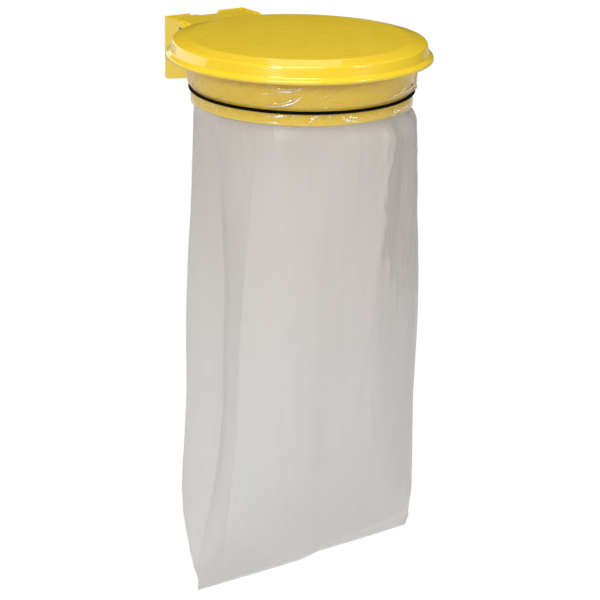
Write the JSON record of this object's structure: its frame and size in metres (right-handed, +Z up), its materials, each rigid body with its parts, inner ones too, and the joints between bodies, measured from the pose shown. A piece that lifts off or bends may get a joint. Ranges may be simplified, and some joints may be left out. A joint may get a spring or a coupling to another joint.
{
  "type": "wall-mounted refuse bag holder",
  "caption": "Wall-mounted refuse bag holder: a folded bracket carries a round band that grips a gusseted bag under a rubber cord, below a hinged pressed lid.",
  "frame": {"origin": "centre of the back plate's rear face across its width, at the level of the lid's lower rim", "axes": "+Y into the wall, +Z up along the hanging bag, +X to the right when facing the wall"},
  "size_m": [0.4563, 0.5, 0.92],
  "materials": {
    "yellow_paint": "powder coated, satin",
    "zinc_steel": "zinc plated",
    "black_plastic": "moulded",
    "black_rubber": "matt",
    "clear_film": "thin translucent film"
  },
  "bodies": {
    "holder": {"wall_bracket": "yellow_paint", "support_band": "yellow_paint", "hinge_pin": "zinc_steel", "hinge_washer_right": "black_plastic", "hinge_washer_left": "black_plastic", "hinge_clip": "zinc_steel", "elastic_cord": "black_rubber", "refuse_bag": "clear_film"},
    "lid": {"lid_shell": "yellow_paint", "lid_arm": "yellow_paint"}
  },
  "joints": [
    {"name": "lid_hinge", "type": "hinge", "parent": "holder", "child": "lid", "pos_m": [0, -0.051, 0.005], "axis": [-1, 0, 0], "range_deg": [0, 92]}
  ]
}
